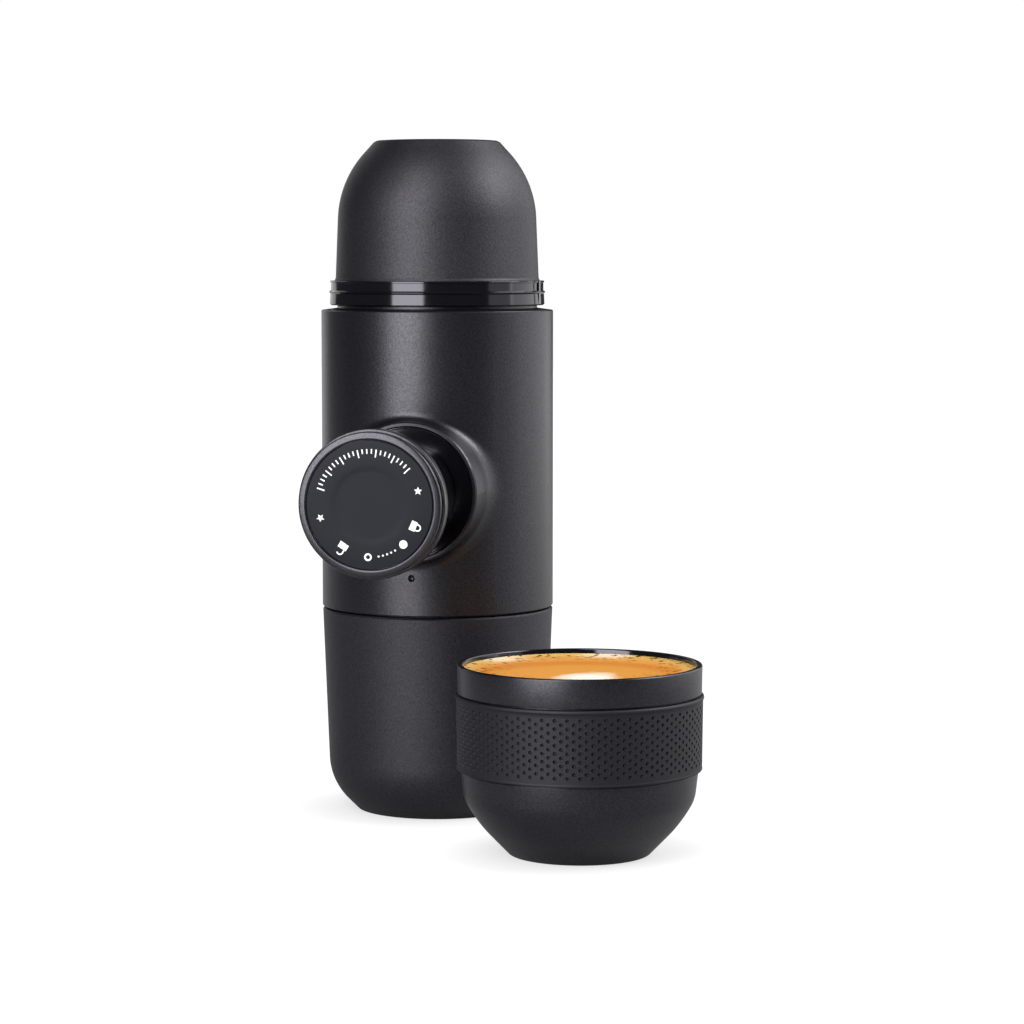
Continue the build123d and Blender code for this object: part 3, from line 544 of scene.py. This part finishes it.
def buildKnob():
    back, groove, front = knob["back"], knob["groove"], knob["front"]
    flange, bezel, pocketRadius = knob["flange"], knob["bezel"], knob["disc"] + 0.1
    step = groove + knob["grooveWide"]
    outline = [(knob["bore"], back), (flange, back, 0.5), (flange, groove, 0.3),
               (knob["grooveRadius"], groove, 0.1), (knob["grooveRadius"], step, 0.1),
               (bezel, step, 0.12), (bezel, front - 0.2, 0.4), (knob["crest"], front, 0.2),
               (pocketRadius, front - 0.3, 0.06), (pocketRadius, knob["pocket"]),
               (knob["bore"], knob["pocket"])]
    mesh = lathe(outline, steps=160)
    bmesh.ops.transform(mesh, matrix=alongPump, verts=mesh.verts[:])
    top = marks["plane"]
    low, dished = top - knob["discThick"], top - knob["dishDeep"]
    disc = lathe([(0, dished), (knob["dish"], dished, 0.5), (knob["dishEdge"], top, 0.5),
                  (knob["disc"], top, 0.08), (knob["disc"], low), (0, low)],
                 closed=False, steps=160)
    bmesh.ops.transform(disc, matrix=alongPump, verts=disc.verts[:])
    finishPiece("knobFace", disc, [finish["knob_disc"]], "knob", ["knob_face"])
    finishPiece("knobRing", mesh, [knobFinish], "knob", ["knob_shell"])


buildKnob()


def placeOnDisc(angle):
    # angle as the user sees it; local +Y points outwards
    spot, radius = radians(angle), marks["radius"]
    return (Matrix.Translation((radius * sin(spot) * mm, -radius * cos(spot) * mm, 0))
            @ Matrix.Rotation(spot + pi, 4, "Z"))


def addDot(mesh, where, radius, sides):
    return bmesh.ops.create_circle(mesh, cap_ends=True, segments=sides, radius=radius * mm,
                                   matrix=where)


def addBar(mesh, where, wide, tall, x=0.0, y=0.0):
    size = Matrix.Translation((x * mm, y * mm, 0)) @ Matrix.Diagonal((wide * mm, tall * mm, 1, 1))
    bmesh.ops.create_grid(mesh, x_segments=1, y_segments=1, size=0.5, matrix=where @ size)


def addArc(mesh, where, inner, outer, start, sweep, y=0.0):
    # flat ring stretch, by spinning its end edge; only what isn't tagged is moved to its place
    ends = [mesh.verts.new((radius * mm, 0, 0)) for radius in (inner, outer)]
    edge = mesh.edges.new(ends)
    bmesh.ops.rotate(mesh, verts=ends, cent=(0, 0, 0),
                     matrix=Matrix.Rotation(radians(start), 3, "Z"))
    full = sweep == 360
    bmesh.ops.spin(mesh, geom=ends + [edge], cent=(0, 0, 0), axis=(0, 0, 1), dvec=(0, 0, 0),
                   angle=radians(sweep), steps=max(8, round(sweep / 12)), use_merge=full)
    flat = Matrix.Translation((0, y * mm, 0))
    fresh = [vert for vert in mesh.verts if not vert.tag]
    bmesh.ops.transform(mesh, matrix=where @ flat, verts=fresh)


def tagAll(mesh):
    for vert in mesh.verts:
        vert.tag = True


lock = {"wide": 2.3, "tall": 1.5, "drop": 0.65, "bowIn": 0.55, "bowOut": 0.87, "closedLift": 0.45,
        "openLift": 0.85, "openTurn": 40, "gap": 0.1}


def addLock(mesh, where, isOpen):
    # padlock: body, bow and one or two legs
    addBar(mesh, where, lock["wide"], lock["tall"], y=-lock["drop"])
    tagAll(mesh)
    lift, turn = (lock["openLift"], lock["openTurn"]) if isOpen else (lock["closedLift"], 0)
    addArc(mesh, where, lock["bowIn"], lock["bowOut"], turn, 180 - turn, y=lift)
    tagAll(mesh)
    legWide, legAt = lock["bowOut"] - lock["bowIn"], (lock["bowOut"] + lock["bowIn"]) / 2
    for side in (-1,) if isOpen else (-1, 1):
        addBar(mesh, where, legWide, lift - lock["gap"], x=side * legAt, y=(lift + lock["gap"]) / 2)
    tagAll(mesh)


def buildMarks():
    mesh = bmesh.new()
    for angle in marks["smallDots"]:
        addDot(mesh, placeOnDisc(angle), marks["smallDotSize"], 12)
    addDot(mesh, placeOnDisc(marks["closedDot"]), marks["dotSize"], 28)
    for angle in marks["stars"]:
        star = addDot(mesh, placeOnDisc(angle), marks["starSize"], 10)["verts"]
        middle = sum((vert.co for vert in star), Vector()) / len(star)
        for vert in star[1::2]:
            vert.co = middle + (vert.co - middle) * marks["starNotch"]
    # scale of strokes that end on one circle
    first, last = marks["scale"]
    long, short = marks["longTick"], marks["shortTick"]
    for count in range(marks["ticks"]):
        tall = long if count % marks["longEvery"] == 0 else short
        angle = first + (last - first) * count / (marks["ticks"] - 1)
        addBar(mesh, placeOnDisc(angle), marks["tickWide"], tall, y=(long - tall) / 2)
    tagAll(mesh)
    addArc(mesh, placeOnDisc(marks["openRing"]), *marks["ringSize"], 0, 360)
    tagAll(mesh)
    addLock(mesh, placeOnDisc(marks["closedLock"]), False)
    addLock(mesh, placeOnDisc(marks["openLock"]), True)
    bmesh.ops.recalc_face_normals(mesh, faces=mesh.faces[:])
    turned = bmesh.ops.extrude_face_region(mesh, geom=mesh.faces[:])["geom"]
    bmesh.ops.translate(mesh, vec=(0, 0, marks["raise"] * mm),
                        verts=[part for part in turned if isinstance(part, bmesh.types.BMVert)])
    bmesh.ops.translate(mesh, vec=(0, 0, marks["plane"] * mm), verts=mesh.verts[:])
    bmesh.ops.transform(mesh, matrix=alongPump, verts=mesh.verts[:])
    finishPiece("knobPrint", mesh, [whitePrint], "knob", sharp=20)


buildMarks()
print("maker: knob made")


# two upright ribs on the outlet head's side, and screw threads on both necks

ribs = {"at": -6.4, "wide": 1.2, "root": 26.8, "out": 27.55, "low": 130.1, "high": 135.9}
threads = {
    "tankThread": {"body": "tank", "slot": "tank_plastic", "starts": (0, 120, 240), "root": 26.3,
                   "crest": 26.88, "height": 53.9, "wide": 1.2, "sweep": 150, "lead": 12},
    "neckThread": {"body": "housing", "slot": "soft_touch", "starts": (20, 200), "root": 24.2,
                   "crest": 24.7, "height": 131.2, "wide": 0.8, "sweep": 165, "lead": 6},
}


def buildRibs():
    mesh = bmesh.new()
    low, high, innerEdge, out = ribs["low"], ribs["high"], ribs["root"], ribs["out"]
    sweep = ribs["wide"] / out * 180 / pi
    for start in (ribs["at"], ribs["at"] + 180):
        addRib(mesh, [(innerEdge, low), (out, low), (out, high), (innerEdge, high)],
               start - sweep / 2, sweep)
    finishPiece("headRibs", mesh, [finish["gloss_black"]], "head")


def buildThread(name, facts):
    # rounded-off thread section, wider at its root than at its crest
    mesh = bmesh.new()
    height, wide = facts["height"], facts["wide"]
    section = [(facts["root"], height - wide * 0.7), (facts["crest"], height - wide * 0.3),
               (facts["crest"], height + wide * 0.3), (facts["root"], height + wide * 0.7)]
    for start in facts["starts"]:
        addRib(mesh, section, start, facts["sweep"], lead=facts["lead"])
    finishPiece(name, mesh, [finish[facts["slot"]]], facts["body"])


buildRibs()
for name, facts in threads.items():
    buildThread(name, facts)
print("maker: threads made")


# springs, round wire coils in place of their CAD nodes; each also lists a joint and travel

springs = {
    "returnCoil": {"node": "return_spring", "joint": "piston_stroke", "axis": (0, 1, 0),
                   "turns": 11, "radius": 8.9, "wire": 1.0, "travel": 32.2},
    "inletCoil": {"node": "inlet_spring", "joint": "inlet_ball_lift", "axis": (0, 0, 1),
                  "turns": 5, "radius": 1.3, "wire": 0.3, "travel": 1.2},
    "outletCoil": {"node": "outlet_spring", "joint": "outlet_ball_lift", "axis": (0, 0, 1),
                   "turns": 5, "radius": 1.3, "wire": 0.3, "travel": 1.2},
}


def buildSpring(name, facts):
    # round wire coil between the ends of its CAD node
    low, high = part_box(facts["node"])
    middle = (low + high) / 2
    along = 1 if facts["axis"][1] else 2
    length = (high[along] - low[along]) / mm
    wire, turns = facts["wire"] / 2, facts["turns"]
    mesh = bmesh.new()
    quarter = Matrix.Rotation(radians(90), 4, "X")
    section = bmesh.ops.create_circle(
        mesh, cap_ends=True, segments=8, radius=wire * mm,
        matrix=Matrix.Translation((facts["radius"] * mm, 0, wire * mm)) @ quarter)
    steps = turns * 24
    bmesh.ops.spin(mesh, geom=section["verts"] + mesh.edges[:] + mesh.faces[:], cent=(0, 0, 0),
                   axis=(0, 0, 1), dvec=(0, 0, (length - 2 * wire) / steps * mm),
                   angle=2 * pi * turns, steps=steps, use_merge=False)
    if along == 1:
        # made along +Z, turned to run from the fixed end at +Y towards the knob
        bmesh.ops.transform(mesh, matrix=Matrix.Translation((middle.x, high.y, middle.z)) @ quarter,
                            verts=mesh.verts[:])
    else:
        bmesh.ops.translate(mesh, vec=(middle.x, middle.y, low.z), verts=mesh.verts[:])
    piece = finishPiece(name, mesh, [finish["steel"]], "housing", [facts["node"]],
                        sharp=60)
    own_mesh(piece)


for name, facts in springs.items():
    buildSpring(name, facts)
print("maker: springs made")


# camera, floor and light

camera = {"place": (0.1806, -0.7906, 0.1436), "heading": 11.514, "down": 4.737, "lens": 110.89}
camData = bpy.data.cameras.new("camera")
camData.lens = camera["lens"]
camData.sensor_width = 36
camObj = bpy.data.objects.new("camera", camData)
camObj.location = camera["place"]
camObj.rotation_euler = (radians(90 - camera["down"]), 0, radians(camera["heading"]))
bpy.context.scene.collection.objects.link(camObj)
bpy.context.scene.camera = camObj


def addSoftbox(name, place, aim, width, height, power):
    lamp = bpy.data.lights.new(name, "AREA")
    lamp.shape = "RECTANGLE"
    lamp.size, lamp.size_y = width, height
    lamp.energy = power
    obj = bpy.data.objects.new(name, lamp)
    obj.location = place
    obj.rotation_mode = "QUATERNION"
    obj.rotation_quaternion = (Vector(aim) - Vector(place)).to_track_quat("-Z", "Y")
    bpy.context.scene.collection.objects.link(obj)


# softboxes in m and W: azimuth from the knob's side in degrees towards +X, distance, height,
# width, height of the face, power; all aim at the middle of the maker
lampAim = (0, 0, 0.09)
softboxes = {
    "key": (-18.5, 0.62, 0.205, 0.38, 0.62, 6.3),
    "frontTop": (-10, 0.7, 0.85, 0.5, 0.5, 4.9),
    "rightFront": (85, 0.95, 0.25, 0.55, 0.9, 1.35),
    "rightBack": (118, 0.95, 0.25, 0.75, 0.9, 3.75),
    "rightRim": (151, 0.95, 0.25, 0.3, 0.9, 1.3),
    "rightTop": (92, 0.85, 0.72, 0.5, 0.5, 9.5),
    "backTop": (130, 0.7, 0.85, 0.5, 0.5, 2.6),
    "leftBack": (-142, 0.95, 0.25, 0.5, 0.9, 1.2),
}
for name, (azimuth, far, height, wide, tall, power) in softboxes.items():
    turn = radians(azimuth)
    addSoftbox(name, (far * sin(turn), -far * cos(turn), height), lampAim, wide, tall, power)
overhead = {"place": (0.0, -0.1, 1.1), "aim": (0, 0, 0), "width": 1.1, "height": 1.1, "power": 0.6}
addSoftbox("overhead", *overhead.values())

air = {"dim": 0.02, "glossy": 0.04}


def paperWhite(tree, surface, share, glossy, strength):
    # camera rays meet mostly plain white, so that the background is white and shadows stay faint;
    # mirrored rays meet as much of it as glossy says; the three are numbers or output sockets
    path = addNode(tree, "ShaderNodeLightPath")
    seen = addNode(tree, "ShaderNodeMath", {"operation": "MAXIMUM"},
                   {0: path.outputs["Is Camera Ray"], 1: path.outputs["Is Transmission Ray"]})
    part = addNode(tree, "ShaderNodeMath", {"operation": "MULTIPLY"}, {0: seen.outputs[0]})
    mirrored = addNode(tree, "ShaderNodeMath", {"operation": "MULTIPLY_ADD"},
                       {0: path.outputs["Is Glossy Ray"], 2: part.outputs[0]})
    white = addNode(tree, "ShaderNodeEmission", {"Color": (1, 1, 1, 1)})
    for socket, value in ((part.inputs[1], share), (mirrored.inputs[1], glossy),
                          (white.inputs["Strength"], strength)):
        if isinstance(value, float):
            socket.default_value = value
        else:
            tree.links.new(value, socket)
    return addNode(tree, "ShaderNodeMixShader",
                   links={0: mirrored.outputs[0], 1: surface, 2: white.outputs[0]}).outputs[0]


world = bpy.data.worlds.new("studioAir")
bpy.context.scene.world = world
world.use_nodes = True
airTree = world.node_tree
airTree.nodes.clear()
dim = addNode(airTree, "ShaderNodeBackground", {"Color": (1, 1, 1, 1), "Strength": air["dim"]})
addNode(airTree, "ShaderNodeOutputWorld",
        links={"Surface": paperWhite(airTree, dim.outputs[0], 1.0, air["glossy"], 1.0)})

# floor, in m: its colour to the eye and to the light it throws back; how much plain white shows
# near the object and from far on; how bright it is in mirrors before and behind the object;
# and how far in mm and how deep the painted contact shadow goes
floor = {"half": 3.0, "colour": "#f4f4f4", "bounce": "#8c8c8c", "rough": 0.8, "nearShare": 0.84,
         "near": 0.12, "far": 0.36, "strength": 1.08, "glossy": 0.1, "glossyBehind": 0.34,
         "glossyFrom": -0.05, "glossyTo": 0.2, "reach": 13.0, "contact": 0.3}
floorMesh = bmesh.new()
bmesh.ops.create_grid(floorMesh, x_segments=1, y_segments=1, size=floor["half"])
floorData = bpy.data.meshes.new("floor")
floorMesh.to_mesh(floorData)
floorMesh.free()
floorObj = bpy.data.objects.new("floor", floorData)
bpy.context.scene.collection.objects.link(floorObj)

# matt white paper: no reflections; it greys only under the pieces, by their real shadow and by the
# painted contact shadow set below
floorMat, floorTree, floorShader = newMaterial("mattPaper", {"Roughness": floor["rough"]})
toCamera = addNode(floorTree, "ShaderNodeLightPath").outputs["Is Camera Ray"]
paper = addNode(floorTree, "ShaderNodeMixRGB",
                {"Color1": srgb(floor["bounce"]), "Color2": srgb(floor["colour"])},
                {"Fac": toCamera})
floorTree.links.new(paper.outputs[0], floorShader.inputs["Base Color"])
place = objectCoords(floorTree)


def floorRange(socket, start, end, first, last):
    return addNode(floorTree, "ShaderNodeMapRange", {"From Min": start, "From Max": end,
                                                     "To Min": first, "To Max": last},
                   {"Value": socket}).outputs["Result"]


away = addNode(floorTree, "ShaderNodeVectorMath", {"operation": "LENGTH"}, {0: place})
whiteShare = floorRange(away.outputs["Value"], floor["near"], floor["far"],
                        floor["nearShare"], 1.0)
behind = addNode(floorTree, "ShaderNodeSeparateXYZ", links={0: place})
mirrorShare = floorRange(behind.outputs["Y"], floor["glossyFrom"], floor["glossyTo"],
                         floor["glossy"], floor["glossyBehind"])
# painted contact shadow: the plain white the floor shows is dimmed where ambient occlusion finds
# the pieces close by
paintedShadowOcclusion = addNode(floorTree, "ShaderNodeAmbientOcclusion",
                  {"samples": 16, "Distance": floor["reach"] * mm})
whiteWithPaintedShadow = floorRange(paintedShadowOcclusion.outputs["AO"], 0.0, 1.0,
                       floor["strength"] * (1 - floor["contact"]), floor["strength"])
shown = paperWhite(floorTree, floorShader.outputs[0], whiteShare, mirrorShare, whiteWithPaintedShadow)
floorTree.links.new(shown, floorTree.nodes["Material Output"].inputs["Surface"])
floorObj.data.materials.append(floorMat)
bpy.context.scene.view_settings.view_transform = "Standard"
print("maker: camera, floor and light set")
